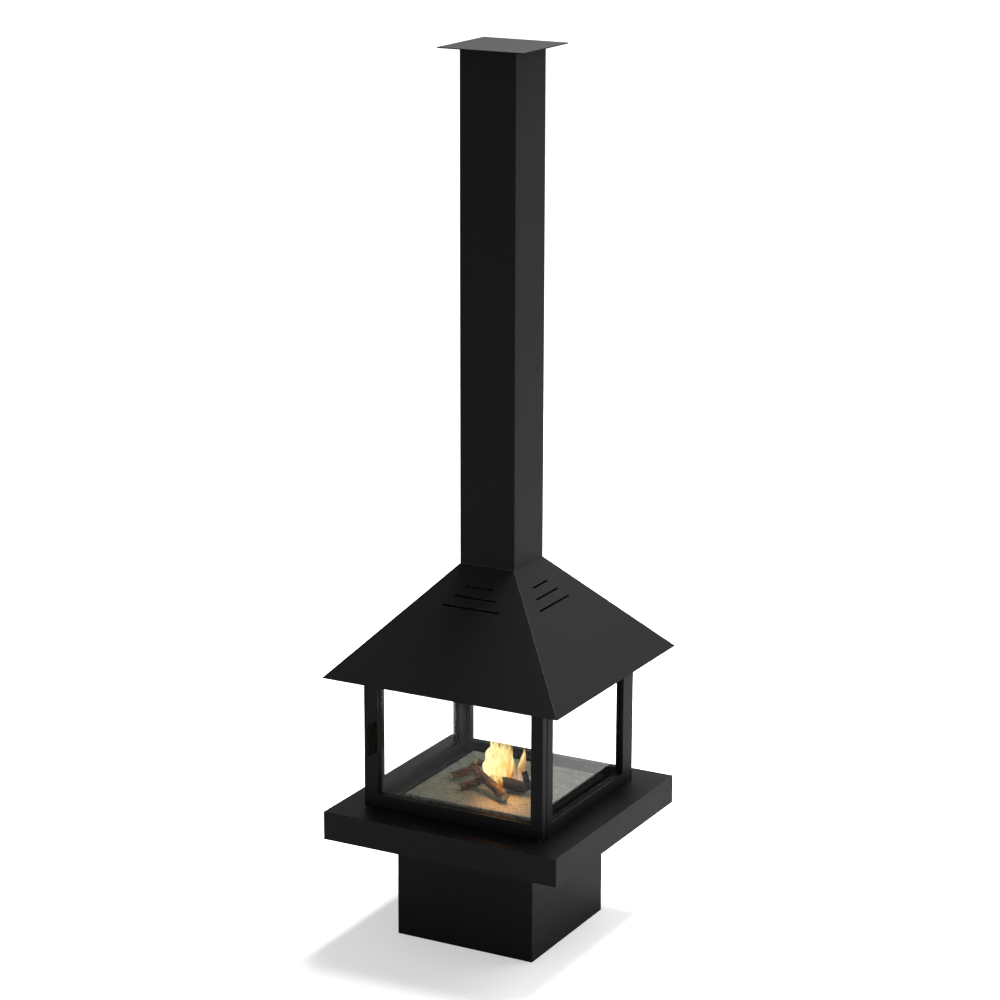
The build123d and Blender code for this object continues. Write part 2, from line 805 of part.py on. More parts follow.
with BuildPart() as catch_strikes:
    with BuildSketch(side_plane(0, firebox_half - frame_depth)):
        with Locations(*[(magnet_x, level) for level in magnet_levels]):
            Circle(magnet_radius)
    extrude(amount=-strike_thickness)
save("catch_strikes", catch_strikes.part)

# Ceiling plate, which carries the hood and closes the firebox at the top
plate_drop = hood_run * ceiling_thickness / hood_height
ceiling_width = hearth_width - 2 * (hood_wall_across + plate_drop + sheet_clearance)
bracket_seat = ceiling_width / 2 - bracket_screw_inset
bracket_screw_points = [
    side_plane(turn, bracket_seat).from_local_coords((side * bracket_screw_spacing / 2, 0, 0))
    for turn in (0, 90, 180, 270) for side in (-1, 1)
]
bracket_screw_planes = [
    upright(p.X, p.Y, ceiling_top + bracket_thickness + bracket_screw_head_height)
    for p in bracket_screw_points
]
bracket_screw_length = ceiling_thickness + bracket_thickness + bracket_screw_head_height
bracket_screw_holes = [
    (head, bracket_screw / 2 + thread_clearance, bracket_screw_length) for head in bracket_screw_planes
]

with BuildPart() as ceiling_plate:
    with BuildSketch(Plane.XY.offset(eave_level)):
        square_ring(ceiling_width, ceiling_opening)
    extrude(amount=ceiling_thickness)
    with BuildSketch(Plane.XY.offset(eave_level)):
        square_ring(ceiling_opening + 2 * ceiling_flange_wall, ceiling_opening)
    extrude(amount=ceiling_thickness + ceiling_flange_height)
    drill([hole for hole in frame_bolt_holes if hole[0].origin.Z == ceiling_top])
    drill([hole for hole in pin_plate_holes if hole[0].origin.Z == ceiling_top])
    drill(bracket_screw_holes)
save("ceiling_plate", ceiling_plate.part)

# Hood, a pyramid of folded sheet with slots near the top
with BuildPart() as hood_shell:
    with BuildSketch(Plane.XY.offset(eave_level)):
        Rectangle(hearth_width, hearth_width)
    with BuildSketch(Plane.XY.offset(hood_top)):
        Rectangle(chimney_width, chimney_width)
    loft(ruled=True)
    hips = [edge for edge in hood_shell.edges() if abs(edge.tangent_at(0.5).Z) > slope_sin / 2]
    fillet(hips, radius=hood_edge_radius)
    with BuildSketch(Plane.XY.offset(eave_level)):
        inner_eave = hearth_width - 2 * hood_wall_across
        Rectangle(inner_eave, inner_eave)
    with BuildSketch(Plane.XY.offset(hood_top)):
        inner_top = chimney_width - 2 * hood_wall_across
        Rectangle(inner_top, inner_top)
    loft(ruled=True, mode=Mode.SUBTRACT)
    with BuildSketch(Plane.XY.offset(hood_top)):
        chimney_bore = chimney_width - 2 * chimney_wall
        Rectangle(chimney_bore, chimney_bore)
    extrude(amount=-slot_cut_depth, mode=Mode.SUBTRACT)
    for turn, shift in ((0, 0), (90, -side_slot_shift), (180, 0), (270, side_slot_shift)):
        eave = side_plane(turn, hearth_width / 2, eave_level)
        slope_normal = eave.z_dir * slope_sin + Vector(0, 0, slope_cos)
        slope = Plane(origin=eave.origin, x_dir=eave.x_dir, z_dir=slope_normal)
        for row in range(slot_count):
            up_slope = first_slot + row * slot_pitch
            face_width = hearth_width - 2 * up_slope * slope_cos
            with BuildSketch(slope.offset(hood_wall)):
                with Locations((shift, up_slope)):
                    Rectangle(face_width - 2 * slot_margin, slot_width)
            extrude(amount=-slot_cut_depth, mode=Mode.SUBTRACT)
save("hood_shell", hood_shell.part)

# Brackets between the ceiling plate and the inside of the hood
with BuildPart() as hood_brackets:
    inner_line = ceiling_width / 2 + sheet_clearance - thread_clearance
    leg_rise = bracket_leg * slope_sin
    leg_run = bracket_leg * slope_cos
    skin = bracket_thickness / slope_sin
    base_drop = bracket_thickness * hood_run / hood_height
    base_end = inner_line - bracket_base
    outline = [
        (inner_line, ceiling_top),
        (inner_line - leg_run, ceiling_top + leg_rise),
        (inner_line - leg_run - bracket_thickness * slope_sin,
         ceiling_top + leg_rise - bracket_thickness * slope_cos),
        (inner_line - skin - base_drop, ceiling_top + bracket_thickness),
        (base_end, ceiling_top + bracket_thickness),
        (base_end, ceiling_top),
    ]
    for turn in (0, 90, 180, 270):
        with BuildSketch(side_plane(turn + 90)):
            Polygon(*[(-run, rise) for run, rise in outline])
        extrude(amount=bracket_width / 2, both=True)
    drill(bracket_screw_holes)
save("hood_brackets", hood_brackets.part)

with BuildPart() as bracket_screws:
    screws(bracket_screw_planes, bracket_screw, bracket_screw_length,
           bracket_screw_head, bracket_screw_head_height)
save("bracket_screws", bracket_screws.part)

# Collar, gasket and chimney duct
spigot_width = chimney_bore - 2 * sheet_clearance
with BuildPart() as hood_collar:
    with BuildSketch(Plane.XY.offset(hood_top - collar_below)):
        square_ring(spigot_width, spigot_width - 2 * collar_wall)
    extrude(amount=collar_below + joint_gap + collar_above)
save("hood_collar", hood_collar.part)

with BuildPart() as chimney_gasket:
    with BuildSketch(Plane.XY.offset(hood_top)):
        square_ring(chimney_width - 2 * joint_recess, chimney_bore)
    extrude(amount=joint_gap)
save("chimney_gasket", chimney_gasket.part)

with BuildPart() as chimney_duct:
    with BuildSketch(Plane.XY.offset(chimney_base)):
        RectangleRounded(chimney_width, chimney_width, fold_radius)
        Rectangle(chimney_bore, chimney_bore, mode=Mode.SUBTRACT)
    extrude(amount=chimney_length)
save("chimney_duct", chimney_duct.part)

with BuildPart() as cap_plate:
    with BuildSketch(Plane.XY.offset(chimney_top)):
        RectangleRounded(cap_width, cap_width, fold_radius)
    extrude(amount=cap_thickness)
save("cap_plate", cap_plate.part)

with BuildPart() as cap_spigot:
    with BuildSketch(Plane.XY.offset(chimney_top - spigot_length)):
        square_ring(spigot_width, spigot_width - 2 * collar_wall)
    extrude(amount=spigot_length)
save("cap_spigot", cap_spigot.part)


def ceramic_log(name, start, end, radii):
    # A straight log through three round sections
    first = Vector(*start)
    last = Vector(*end)
    axis = (last - first).normalized()
    side = axis.cross(Vector(0, 0, 1)).normalized()
    centres = (first, (first + last) / 2, last)
    with BuildPart() as log:
        for centre, radius in zip(centres, radii):
            with BuildSketch(Plane(origin=centre, x_dir=side, z_dir=axis)):
                Circle(radius)
        loft(ruled=True)
    save(name, log.part)


# Ceramic logs, each lying on the floor panel, the burner rim or other logs
ceramic_log("log_front_long", (86.7, -137.3, 476.0), (-88.0, -28.0, 510.8), (15.8, 15.0, 13.5))
ceramic_log("log_front_short", (-80.2, -122.1, 473.5), (-50.0, -56.0, 474.5), (12.8, 13.5, 14.0))
ceramic_log("log_rear_left", (-148.5, -52.0, 474.2), (-106.0, 24.0, 480.0), (13.5, 14.0, 14.0))
ceramic_log("log_upper", (-101.0, 20.0, 509.0), (-91.0, 84.0, 471.7), (12.5, 13.0, 13.0))
ceramic_log("log_charred", (-12.0, -44.0, 483.5), (112.0, -48.0, 481.5), (16.0, 20.0, 18.0))
ceramic_log("log_leaning", (100.0, -6.0, 463.8), (89.0, -16.0, 524.0), (12.0, 11.0, 10.0))
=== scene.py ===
import bmesh
import bpy
import json
import math
from mathutils import Matrix, Vector, noise


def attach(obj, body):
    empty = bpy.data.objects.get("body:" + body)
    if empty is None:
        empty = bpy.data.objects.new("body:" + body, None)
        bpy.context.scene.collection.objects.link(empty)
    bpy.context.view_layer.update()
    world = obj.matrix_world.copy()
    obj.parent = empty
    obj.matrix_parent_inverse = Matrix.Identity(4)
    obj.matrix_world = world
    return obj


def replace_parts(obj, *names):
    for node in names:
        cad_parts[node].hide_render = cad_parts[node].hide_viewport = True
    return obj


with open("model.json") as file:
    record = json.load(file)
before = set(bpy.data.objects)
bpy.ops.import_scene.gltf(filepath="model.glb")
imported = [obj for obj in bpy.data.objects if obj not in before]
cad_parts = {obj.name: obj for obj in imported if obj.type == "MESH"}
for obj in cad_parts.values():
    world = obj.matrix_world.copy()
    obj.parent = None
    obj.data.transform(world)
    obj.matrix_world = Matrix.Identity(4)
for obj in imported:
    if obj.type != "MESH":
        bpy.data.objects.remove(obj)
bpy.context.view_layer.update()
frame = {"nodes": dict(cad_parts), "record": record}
nodes = frame["nodes"]
print("frame loaded:", len(nodes), "nodes")

# The camera of the picture, in the part's frame
camera = {
    "place": (4.2864, -7.9438, 3.8601),
    "yaw": 28.385,
    "pitch": 15.418,
    "roll": 0.143,
    "lens": 111.58,
    "sensor": 36.0,
}

# Sky and floor: the lifts make them white to the eye without lighting the object more
studio = {
    "skyStrength": 0.36,
    "skyColour": (1.0, 1.0, 1.0),
    "floorColour": (0.82, 0.82, 0.82),
    "floorHalf": 60.0,  # metres to each side
    "floorLift": 0.46,
    "farLift": 0.56,
    "farFrom": 1.2,  # metres from the pedestal, where the floor starts to turn white
    "farTo": 4.5,
}

lamps = {
    "mainLamp": {"kind": "AREA", "place": (4.2, 5.0, 6.6), "aim": (0.0, 0.0, 1.0),
                 "colour": (1.0, 1.0, 1.0), "power": 360.0, "size": 5.0},
    "topLamp": {"kind": "AREA", "place": (0.3, 1.7, 6.3), "aim": (0.0, 0.0, 1.0),
                "colour": (1.0, 1.0, 1.0), "power": 1080.0, "size": 2.4},
}


def setCamera(values):
    data = bpy.data.cameras.new("photoCamera")
    data.lens = values["lens"]
    data.sensor_width = values["sensor"]
    data.clip_end = 300.0
    holder = bpy.data.objects.new("photoCamera", data)
    bpy.context.scene.collection.objects.link(holder)
    turn = Matrix.Rotation(math.radians(values["yaw"]), 4, "Z")
    tip = Matrix.Rotation(math.radians(90.0 - values["pitch"]), 4, "X")
    lean = Matrix.Rotation(math.radians(values["roll"]), 4, "Z")
    holder.matrix_world = Matrix.Translation(values["place"]) @ turn @ tip @ lean
    bpy.context.scene.camera = holder


class Value:
    # A socket that can be added, subtracted and multiplied in an expression
    def __init__(self, tree, socket):
        self.tree = tree
        self.socket = socket

    def math(self, operation, other=0.0, swapped=False):
        node = self.tree.nodes.new("ShaderNodeMath")
        node.operation = operation
        pair = (other, self) if swapped else (self, other)
        for slot, value in zip(node.inputs, pair):
            join(self.tree, slot, value)
        return Value(self.tree, node.outputs[0])

    def __add__(self, other):
        return self.math("ADD", other)

    def __radd__(self, other):
        return self.math("ADD", other, swapped=True)

    def __sub__(self, other):
        return self.math("SUBTRACT", other)

    def __rsub__(self, other):
        return self.math("SUBTRACT", other, swapped=True)

    def __mul__(self, other):
        return self.math("MULTIPLY", other)

    def __rmul__(self, other):
        return self.math("MULTIPLY", other, swapped=True)

    def __abs__(self):
        return self.math("ABSOLUTE")


def join(tree, slot, value):
    if isinstance(value, Value):
        tree.links.new(value.socket, slot)
    elif slot.type == "RGBA":
        slot.default_value = (*value[:3], 1.0)
    else:
        slot.default_value = value


class Finish:
    # A material or a sky, and the nodes that make it
    def __init__(self, holder, outputKind="ShaderNodeOutputMaterial"):
        holder.use_nodes = True
        self.holder = holder
        self.tree = holder.node_tree
        self.tree.nodes.clear()
        self.output = self.tree.nodes.new(outputKind)

    def node(self, kind, settings, sockets, out=0):
        made = self.tree.nodes.new(kind)
        for name, value in settings.items():
            if name == "stops":
                self.setStops(made.color_ramp, value)
            else:
                setattr(made, name, value)
        for name, value in sockets.items():
            join(self.tree, made.inputs[name], value)
        return Value(self.tree, made.outputs[out])

    def setStops(self, ramp, stops):
        while len(ramp.elements) < len(stops):
            ramp.elements.new(0.5)
        for stop, (place, colour) in zip(ramp.elements, stops):
            stop.position = place
            stop.color = (*colour, 1.0)

    def position(self, turn=(0, 0, 0), centre=(0, 0, 0), scale=(1, 1, 1)):
        raw = self.node("ShaderNodeTexCoord", {}, {}, "Object")
        return self.node("ShaderNodeMapping", {"vector_type": "TEXTURE"},
                         {"Vector": raw, "Rotation": turn, "Location": centre, "Scale": scale})

    def axes(self, vector):
        split = self.node("ShaderNodeSeparateXYZ", {}, {0: vector})
        return [Value(self.tree, out) for out in split.socket.node.outputs]

    def fromAxis(self, vector):
        # How far a point lies from the upright axis of the pattern
        x, y = self.axes(vector)[:2]
        return (x * x + y * y).math("SQRT")

    def noise(self, vector, scale, detail=3.0, rough=0.5):
        return self.node("ShaderNodeTexNoise", {},
                         {"Vector": vector, "Scale": scale, "Detail": detail, "Roughness": rough})

    def span(self, value, low, high, start=0.0, end=1.0):
        return self.node("ShaderNodeMapRange", {"interpolation_type": "SMOOTHSTEP"},
                         {"Value": value, "From Min": low, "From Max": high, "To Min": start, "To Max": end})

    def blend(self, factor, first, second):
        return self.node("ShaderNodeMix", {"data_type": "RGBA"}, {0: factor, 6: first, 7: second}, 2)

    def bump(self, height, strength, distance):
        return self.node("ShaderNodeBump", {},
                         {"Height": height, "Strength": strength, "Distance": distance})

    def seen(self):
        # 1 where the camera looks straight, by a mirror or through glass, 0 for the light itself
        path = self.node("ShaderNodeLightPath", {}, {}, "Is Camera Ray")
        seen = path
        for name in ("Is Glossy Ray", "Is Transmission Ray"):
            seen = seen.math("MAXIMUM", Value(self.tree, path.socket.node.outputs[name]))
        return seen

    def surface(self, **values):
        names = {"colour": "Base Color", "rough": "Roughness", "metal": "Metallic", "normal": "Normal",
                 "shine": "Specular IOR Level", "alpha": "Alpha", "glow": "Emission Color",
                 "glowStrength": "Emission Strength"}
        sockets = {names[key]: value for key, value in values.items()}
        return self.close(self.node("ShaderNodeBsdfPrincipled", {}, sockets))

    def close(self, shader):
        join(self.tree, self.output.inputs[0], shader)
        return self.holder


def newFinish(name):
    return Finish(bpy.data.materials.new(name))


def edgeMask(finish, low, high):
    # Bright where the surface turns round a softened edge, by the object's own normal
    normal = finish.node("ShaderNodeTexCoord", {}, {}, "Normal")
    x, y, z = (abs(part) for part in finish.axes(normal))
    widest = x.math("MAXIMUM", y).math("MAXIMUM", z)
    return finish.span(1.0 - widest, low, high)


coat = {
    "colour": (0.0040, 0.0040, 0.0043),
    "paler": (0.0054, 0.0054, 0.0057),
    "edge": (0.024, 0.024, 0.025),
    "rough": 0.56,
    "shine": 0.05,
    "grainScale": 1500.0,
    "grainHeight": 0.00002,
    "grainStrength": 0.35,
    "cloudScale": 3.0,
    "cloudRough": 0.10,
    "scuffScale": 60.0,
    "scuffRough": 0.12,
    "edgeBand": (0.02, 0.20),
    "foldBand": (0.0005, 0.0030),
}


def powderCoat(name, values, slope=False):
    made = newFinish(name)
    place = made.position()
    cloud = made.noise(place, values["cloudScale"], 2.0)
    grain = made.noise(place, values["grainScale"], 2.0)
    scuff = made.noise(place, values["scuffScale"], 4.0, 0.7)
    if slope:
        x, y = made.axes(place)[:2]
        mask = 1.0 - made.span(abs(abs(x) - abs(y)), *values["foldBand"])  # the four folds of the hood
    else:
        mask = edgeMask(made, *values["edgeBand"])
    wear = mask * made.span(scuff, 0.35, 0.65)
    colour = made.blend(cloud, values["colour"], values["paler"])
    colour = made.blend(wear, colour, values["edge"])
    rough = values["rough"] + (cloud - 0.5) * values["cloudRough"] - wear * values["scuffRough"]
    return made.surface(colour=colour, rough=rough, shine=values["shine"],
                        normal=made.bump(grain, values["grainStrength"], values["grainHeight"]))


plate = {
    "raw": {"colour": (0.095, 0.097, 0.100), "rough": 0.50, "metal": 0.0},
    "zinc": {"colour": (0.46, 0.46, 0.44), "rough": 0.38, "metal": 1.0},
    "stainless": {"colour": (0.34, 0.33, 0.31), "rough": 0.34, "metal": 1.0},
    "nickel": {"colour": (0.42, 0.41, 0.39), "rough": 0.25, "metal": 1.0},
    "bronze": {"colour": (0.42, 0.26, 0.12), "rough": 0.36, "metal": 1.0},
}


plateLook = {
    "lineScale": 900.0,
    "lineRough": 0.22,
    "lineHeight": 0.00004,
    "stainScale": 14.0,
    "stainRough": 0.15,
    "stainShade": 0.62,
}


def metalPlate(name, values, look, brushed=1.0):
    made = newFinish(name)
    place = made.position(scale=(1.0, brushed, 1.0))
    lines = made.noise(place, look["lineScale"], 3.0)
    stains = made.noise(made.position(), look["stainScale"], 4.0, 0.6)
    dark = tuple(part * look["stainShade"] for part in values["colour"])
    colour = made.blend(made.span(stains, 0.35, 0.7), values["colour"], dark)
    rough = values["rough"] + (lines - 0.5) * look["lineRough"] + (stains - 0.5) * look["stainRough"]
    return made.surface(colour=colour, rough=rough, metal=values["metal"],
                        normal=made.bump(lines, 0.25, look["lineHeight"]))


pane = {
    "tint": (0.962, 0.980, 0.970),
    "bend": 1.22,
    "rough": 0.015,
    "smearRough": 0.03,
    "smearScale": 7.0,
}


def clearGlass(name, values):
    made = newFinish(name)
    smear = made.span(made.noise(made.position(), values["smearScale"], 3.0, 0.6), 0.5, 0.8)
    mirror = made.node("ShaderNodeBsdfPrincipled", {}, {
        "Base Color": (1.0, 1.0, 1.0), "Metallic": 1.0,
        "Roughness": values["rough"] + smear * values["smearRough"]})
    through = made.node("ShaderNodeBsdfTransparent", {}, {"Color": values["tint"]})
    share = made.node("ShaderNodeFresnel", {}, {"IOR": values["bend"]})
    inside = made.node("ShaderNodeNewGeometry", {}, {}, "Backfacing")
    mixed = made.node("ShaderNodeMixShader", {}, {0: share * (1.0 - inside), 1: through, 2: mirror})
    return made.close(mixed)


board = {
    "colour": (0.345, 0.355, 0.285),
    "dark": (0.190, 0.195, 0.155),
    "light": (0.530, 0.535, 0.455),
    "rough": 0.72,
    "fleckScale": 210.0,
    "cloudScale": 38.0,
    "fineScale": 420.0,
    "pitDepth": 0.0003,
}


def mineralBoard(name, values):
    made = newFinish(name)
    place = made.position()
    fleck = made.node("ShaderNodeTexVoronoi", {}, {"Vector": place, "Scale": values["fleckScale"]}, "Color")
    tone, other, third = made.axes(fleck)
    cloud = made.noise(place, values["cloudScale"], 5.0, 0.7)
    fine = made.noise(place, values["fineScale"], 3.0, 0.6)
    colour = made.blend(made.span(cloud * 0.6 + fine * 0.4, 0.36, 0.62), values["dark"], values["colour"])
    colour = made.blend(made.span(tone, 0.70, 1.0) * 0.7, colour, values["light"])
    colour = made.blend(made.span(other, 0.72, 1.0) * 0.6, colour, values["dark"])
    rough = values["rough"] + (fine - 0.5) * 0.2
    return made.surface(colour=colour, rough=rough, shine=0.3,
                        normal=made.bump(fine + third * 0.5, 0.5, values["pitDepth"]))


seal = {"dark": (0.006, 0.006, 0.006), "pale": (0.016, 0.016, 0.016), "weaveScale": 1800.0}
wool = {"clean": (0.62, 0.60, 0.55), "sooty": (0.16, 0.14, 0.12), "fibreScale": 500.0, "sootScale": 30.0}


def softSeal(name, values):
    made = newFinish(name)
    weave = made.noise(made.position(), values["weaveScale"], 2.0)
    colour = made.blend(weave, values["dark"], values["pale"])
    return made.surface(colour=colour, rough=0.78 + (weave - 0.5) * 0.2, shine=0.2,
                        normal=made.bump(weave, 0.6, 0.0002))


def ceramicWool(name, values):
    made = newFinish(name)
    fibre = made.noise(made.position(scale=(1.0, 1.0, 4.0)), values["fibreScale"], 6.0, 0.75)
    soot = made.noise(made.position(), values["sootScale"], 3.0)
    colour = made.blend(made.span(soot, 0.3, 0.7), values["clean"], values["sooty"])
    return made.surface(colour=colour, rough=0.95, shine=0.1, normal=made.bump(fibre, 0.8, 0.0006))


finishes = {
    "black_steel": powderCoat("blackSteel", coat),
    "handle_black": powderCoat("handleBlack", {**coat, "colour": (0.0022, 0.0022, 0.0022), "shine": 0.02,
                                                "paler": (0.0030, 0.0030, 0.0030), "rough": 0.70}),
    "black_screw": powderCoat("blackScrew", {**coat, "rough": 0.38}),
    "raw_steel": metalPlate("primedSteel", plate["raw"], plateLook),
    "dark_tray": powderCoat("trayPaint", {**coat, "colour": (0.0050, 0.0046, 0.0042),
                                          "paler": (0.0085, 0.0078, 0.0070), "rough": 0.68, "shine": 0.03}),
    "zinc": metalPlate("zincSteel", plate["zinc"], plateLook),
    "stainless": metalPlate("stainlessSteel", plate["stainless"], plateLook, 14.0),
    "magnet": metalPlate("nickelDisc", plate["nickel"], plateLook),
    "bronze": metalPlate("bearingBronze", plate["bronze"], plateLook),
    "glass": clearGlass("paneGlass", pane),
    "seal": softSeal("sealRope", seal),
    "floor_board": mineralBoard("mineralBoard", board),
    "wick": ceramicWool("ceramicWool", wool),
}
hoodFinish = powderCoat("hoodSteel", coat, slope=True)

for entry in frame["record"]["subparts"]:
    if entry["material_slot"] in finishes:
        carried = nodes[entry["node"]]
        chosen = hoodFinish if entry["node"] == "hood_shell" else finishes[entry["material_slot"]]
        carried.data.materials.clear()
        carried.data.materials.append(chosen)
print("finishes made")


def addPiece(name, mesh, materials, body):
    shape = bpy.data.meshes.new(name)
    mesh.to_mesh(shape)
    mesh.free()
    piece = bpy.data.objects.new(name, shape)
    bpy.context.scene.collection.objects.link(piece)
    for material in materials:
        shape.materials.append(material)
    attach(piece, body)
    return piece


# Logs: their ends are the ends of the solids, in millimetres
logSet = {
    "log_front_long": {"start": (86.7, -137.3, 476.0), "end": (-88.0, -28.0, 510.8),
                       "radii": (15.6, 14.8, 13.3), "seed": 3, "char": 0.25, "stub": (0.52, 200.0, 9.0)},
    "log_front_short": {"start": (-80.2, -122.1, 473.5), "end": (-50.0, -56.0, 474.5),
                        "radii": (12.6, 13.3, 13.8), "seed": 11, "char": 0.30, "stub": None},
    "log_rear_left": {"start": (-148.5, -52.0, 474.2), "end": (-106.0, 24.0, 480.0),
                      "radii": (13.3, 13.8, 13.8), "seed": 19, "char": 0.15, "stub": (0.55, 20.0, 8.0)},
    "log_upper": {"start": (-101.0, 20.0, 509.0), "end": (-91.0, 84.0, 471.7),
                  "radii": (12.3, 12.8, 12.8), "seed": 27, "char": 0.45, "stub": None},
    "log_charred": {"start": (-12.0, -44.0, 483.5), "end": (112.0, -48.0, 481.5),
                    "radii": (15.8, 19.7, 17.8), "seed": 35, "char": 1.10, "stub": None},
    "log_leaning": {"start": (100.0, -6.0, 463.8), "end": (89.0, -16.0, 524.0),
                    "radii": (11.8, 10.8, 9.8), "seed": 43, "char": 0.60, "stub": None},
}

logLook = {
    "sides": 28,
    "rings": 26,
    "relief": 0.0015,
    "chop": 0.0010,
    "lumps": 22.0,
    "stretch": 5.0,
    "ridgeScale": 190.0,
    "patchScale": 34.0,
    "crackScale": 150.0,
    "barkDepth": 0.0016,
    "ringPitch": 3600.0,
    "fibreScale": 900.0,
    "cutDepth": 0.0003,
    "bark": (0.060, 0.024, 0.012),
    # Paler bark on the raised ridges: partly the ridges' own paler tone, partly a painted highlight on them
    "barkRidgeToneAndHighlight": (0.350, 0.180, 0.085),
    # Dark bark in the cracks: partly the fissures' own darker bark, partly painted shade in them
    "barkCrackToneAndShade": (0.010, 0.004, 0.003),
    "charcoal": (0.010, 0.008, 0.008),
    "cutWood": (0.66, 0.58, 0.32),
    "cutDark": (0.32, 0.24, 0.11),
}


def logPlace(values):
    start = Vector(values["start"]) / 1000.0
    end = Vector(values["end"]) / 1000.0
    turn = (end - start).to_track_quat("Z", "Y")
    return start, end, turn


def barkFinish(name, values, look):
    start, _, turn = logPlace(values)
    made = newFinish(name + "Bark")
    along = made.position(turn=tuple(turn.to_euler()), centre=tuple(start),
                          scale=(1.0, 1.0, look["stretch"]))
    plain = made.position(turn=tuple(turn.to_euler()), centre=tuple(start))
    ridges = made.noise(along, look["ridgeScale"], 5.0, 0.68)
    patches = made.noise(plain, look["patchScale"], 3.0, 0.55)
    cracks = made.node("ShaderNodeTexVoronoi", {"feature": "DISTANCE_TO_EDGE"},
                       {"Vector": along, "Scale": look["crackScale"]}, "Distance")
    seam = 1.0 - made.span(cracks, 0.0, 0.10)
    # The raised ridges get the paler colour: their own paler tone plus a painted highlight
    colour = made.blend(made.span(ridges, 0.44, 0.66), look["bark"], look["barkRidgeToneAndHighlight"])
    # The sunken cracks get the dark colour: their own darker bark plus painted shade in the recesses
    colour = made.blend(seam * 0.8, colour, look["barkCrackToneAndShade"])
    burnt = made.span(patches + values["char"] * 0.6, 0.62, 0.86)
    colour = made.blend(burnt, colour, look["charcoal"])
    rough = 0.70 + (ridges - 0.5) * 0.3
    height = ridges - seam * 0.7
    return made.surface(colour=colour, rough=rough, shine=0.35,
                        normal=made.bump(height, 1.0, look["barkDepth"]))


def cutFinish(name, values, look):
    start, _, turn = logPlace(values)
    made = newFinish(name + "Cut")
    plain = made.position(turn=tuple(turn.to_euler()), centre=tuple(start))
    radius = made.fromAxis(plain) + made.noise(plain, 90.0, 2.0) * 0.0016
    rings = (radius * look["ringPitch"]).math("SINE") * 0.5 + 0.5
    fibres = made.noise(plain, look["fibreScale"], 3.0, 0.7)
    reach = values["radii"][0] / 1000.0
    rim = made.span(radius, reach * 0.80, reach)
    colour = made.blend(rings * 0.45 + (fibres - 0.5) * 0.4, look["cutWood"], look["cutDark"])
    colour = made.blend(rim * 0.7, colour, look["cutDark"])
    soot = made.span(fibres + values["char"] * 0.5, 0.80, 0.98)
    colour = made.blend(soot, colour, look["charcoal"])
    return made.surface(colour=colour, rough=0.8, shine=0.25,
                        normal=made.bump(rings * 0.3 + fibres, 0.5, look["cutDepth"]))


def buildLog(name, values, look):
    start, end, turn = logPlace(values)
    length = (end - start).length
    first, middle, last = (radius / 1000.0 for radius in values["radii"])
    mesh = bmesh.new()
    bmesh.ops.create_cone(mesh, cap_ends=True, segments=look["sides"], radius1=1.0, radius2=1.0, depth=1.0)
    lengthwise = [edge for edge in mesh.edges if abs(edge.verts[0].co.z - edge.verts[1].co.z) > 0.5]
    bmesh.ops.subdivide_edges(mesh, edges=lengthwise, cuts=look["rings"], use_grid_fill=True)
    ends = [face for face in mesh.faces if abs(face.normal.z) > 0.9]
    for face in ends:
        face.material_index = 1
    rims = bmesh.ops.inset_region(mesh, faces=ends, thickness=0.10, depth=0.0)["faces"]
    for face in rims:
        face.material_index = 0  # bark reaches over the rim of the cut
    seed = Vector((values["seed"], values["seed"] * 0.7, 0.0))
    for vert in mesh.verts:
        share = vert.co.z + 0.5
        if share < 0.5:
            radius = first + (middle - first) * share * 2
        else:
            radius = middle + (last - middle) * (share * 2 - 1)
        ray = Vector((vert.co.x, vert.co.y, 0.0))
        at = Vector((ray.x * 1.6, ray.y * 1.6, share * length * look["lumps"])) + seed
        lump = noise.noise(at * 0.8) * 1.6 + noise.noise(at * 2.6) * 0.8
        size = radius * ray.length - look["relief"] * (0.9 + lump) * ray.length
        flat = ray.normalized() if ray.length else ray
        chop = 0.0
        if abs(share - 0.5) > 0.4999:
            chop = noise.noise(Vector((vert.co.x * 2.2, vert.co.y * 2.2, values["seed"]))) * look["chop"]
        depth = share * length + (chop if share < 0.5 else -chop)
        vert.co = Vector((flat.x * size, flat.y * size, depth))
    if values["stub"]:
        addStub(mesh, stubLook, values["stub"], length, middle)
    for face in mesh.faces:
        face.smooth = face.material_index == 0
    mesh.transform(Matrix.Translation(start) @ turn.to_matrix().to_4x4())
    bmesh.ops.recalc_face_normals(mesh, faces=mesh.faces)
    looks = [barkFinish(name, values, look), cutFinish(name, values, look)]
    return addPiece(name + "_bark", mesh, looks, "root")


stubLook = {"slant": 62.0, "sides": 14, "foot": 0.62, "tip": 0.45, "depth": 1.6, "sink": 0.95}


def addStub(mesh, look, stub, length, radius):
    # The cut root of a side branch, standing out of the bark
    share, turn, size = stub
    reach = size / 1000.0
    around = Matrix.Rotation(math.radians(turn), 4, "Z")
    slant = around @ Matrix.Rotation(math.radians(look["slant"]), 4, "Y")
    foot = Matrix.Translation((0.0, 0.0, share * length))
    place = foot @ slant @ Matrix.Translation((0.0, 0.0, radius * look["sink"]))
    bmesh.ops.create_cone(mesh, cap_ends=True, segments=look["sides"], radius1=reach * look["foot"],
                          radius2=reach * look["tip"], depth=reach * look["depth"], matrix=place)


for logName, logValues in logSet.items():
    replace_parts(buildLog(logName, logValues, logLook), logName)
print("logs made")


